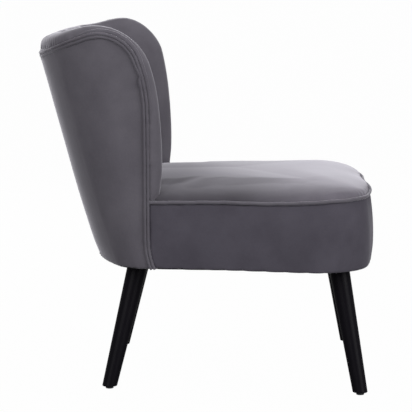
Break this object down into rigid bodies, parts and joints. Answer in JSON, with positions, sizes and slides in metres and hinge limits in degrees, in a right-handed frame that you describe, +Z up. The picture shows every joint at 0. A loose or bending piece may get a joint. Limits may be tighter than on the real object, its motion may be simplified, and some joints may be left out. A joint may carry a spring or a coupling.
{
  "type": "wing-back occasional chair",
  "caption": "Armless upholstered occasional chair in grey velvet: curved wing back with rolled, piped edge, crowned seat with piped border, and splayed black tapered legs.",
  "frame": {"origin": "on the floor under the middle of the chair", "axes": "+Z up, the chair faces -Y, +X to the sitter's left"},
  "size_m": [0.6, 0.694, 0.733],
  "materials": {
    "grey_velvet": "short cut pile",
    "foam": "open cell",
    "wadding": "matte",
    "elastic_webbing": "woven",
    "deck_cloth": "woven",
    "dust_cloth": "non-woven, matte",
    "frame_timber": "sawn",
    "black_lacquer": "satin lacquer",
    "black_nylon": "moulded",
    "zinc_steel": "zinc plated"
  },
  "bodies": {
    "root": {"back_inner_cover": "grey_velvet", "back_outer_cover": "grey_velvet", "back_piping_inner": "grey_velvet", "back_piping_outer": "grey_velvet", "back_buttons": "grey_velvet", "seat_top_cover": "grey_velvet", "seat_border": "grey_velvet", "seat_piping": "grey_velvet", "wing_board_left": "frame_timber", "wing_board_right": "frame_timber", "back_bottom_rail": "frame_timber", "back_lumbar_rail": "frame_timber", "back_top_rail": "frame_timber", "seat_front_rail": "frame_timber", "seat_left_rail": "frame_timber", "seat_right_rail": "frame_timber", "seat_rear_rail": "frame_timber", "corner_block_front_left": "frame_timber", "corner_block_front_right": "frame_timber", "corner_block_rear_left": "frame_timber", "corner_block_rear_right": "frame_timber", "leg_front_left": "black_lacquer", "glide_front_left": "black_nylon", "leg_front_right": "black_lacquer", "glide_front_right": "black_nylon", "leg_rear_left": "black_lacquer", "glide_rear_left": "black_nylon", "leg_rear_right": "black_lacquer", "glide_rear_right": "black_nylon", "back_foam": "foam", "seat_foam": "foam", "seat_wadding": "wadding", "back_webbing": "elastic_webbing", "seat_webbing_long": "elastic_webbing", "seat_webbing_cross": "elastic_webbing", "seat_deck": "deck_cloth", "dust_cover": "dust_cloth", "leg_hanger_bolts": "zinc_steel", "leg_tee_nuts": "zinc_steel", "back_bolts": "zinc_steel", "back_bolt_washers": "zinc_steel"}
  },
  "joints": []
}
